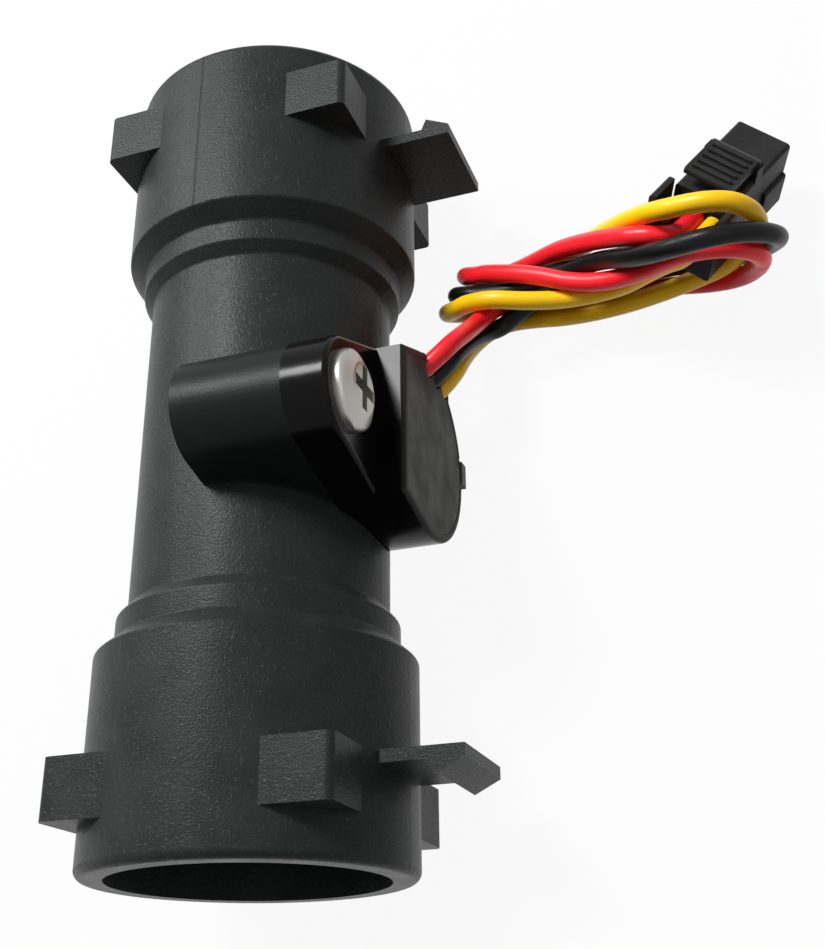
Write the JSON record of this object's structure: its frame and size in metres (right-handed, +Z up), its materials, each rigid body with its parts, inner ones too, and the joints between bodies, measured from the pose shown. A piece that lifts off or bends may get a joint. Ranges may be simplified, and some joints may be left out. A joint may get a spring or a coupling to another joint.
{
  "type": "flow sensor",
  "caption": "Inline turbine flow sensor: straight tube with push-in pipe sockets, a screwed-on potted sensor on its side and a short wire lead with a latching plug.",
  "frame": {"origin": "centre of the inlet socket's mouth, on the tube's axis", "axes": "+Y along the flow from the inlet mouth to the outlet mouth, +Z up from the floor that the sensor lies on, +X towards the sensor boss"},
  "size_m": [0.0681, 0.081, 0.0342],
  "materials": {
    "housing": "matte, glass-filled",
    "cover": "glossy",
    "potting": "satin cast resin",
    "screw": "plated",
    "pin_steel": "ground",
    "insert": "moulded acetal",
    "bush": "filled bearing plastic",
    "magnet": "sintered ferrite",
    "board": "solder resist",
    "chip": "moulded resin",
    "ceramic": "ceramic",
    "tin": "tinned",
    "wire_red": "soft glossy insulation",
    "wire_black": "soft glossy insulation",
    "wire_yellow": "soft glossy insulation",
    "hank": "stands for the three wires' insulation",
    "plug": "semi-gloss"
  },
  "bodies": {
    "sensor": {"flow_tube": "housing", "inlet_guide": "insert", "outlet_guide": "insert", "rotor_shaft": "pin_steel", "front_washer": "pin_steel", "rear_washer": "pin_steel", "retaining_ring": "pin_steel", "sensor_cover": "cover", "cover_screw": "screw", "circuit_board": "board", "hall_chip": "chip", "hall_legs": "tin", "chip_capacitor": "ceramic", "chip_resistor": "chip", "solder_joints": "tin", "potting": "potting", "lead_red": "wire_red", "lead_black": "wire_black", "lead_yellow": "wire_yellow", "plug_housing": "plug", "terminal_red": "tin", "terminal_black": "tin", "terminal_yellow": "tin", "tail_red": "wire_red", "tail_black": "wire_black", "tail_yellow": "wire_yellow", "wire_hank": "hank"},
    "wheel": {"rotor": "insert", "ring_magnet": "magnet", "rotor_cap": "insert", "front_bush": "bush", "rear_bush": "bush"},
    "latch": {"plug_latch": "plug"}
  },
  "joints": [
    {"name": "rotor_spin", "type": "hinge", "parent": "sensor", "child": "wheel", "pos_m": [0, 0.0384, 0], "axis": [0, 1, 0], "continuous": true},
    {"name": "latch_press", "type": "hinge", "parent": "sensor", "child": "latch", "pos_m": [0.04842, 0.06265, -0.00492], "axis": [0.7368, -0.6277, -0.2512], "range_deg": [0, 8], "stiffness_Nm_per_rad": 0.1}
  ]
}
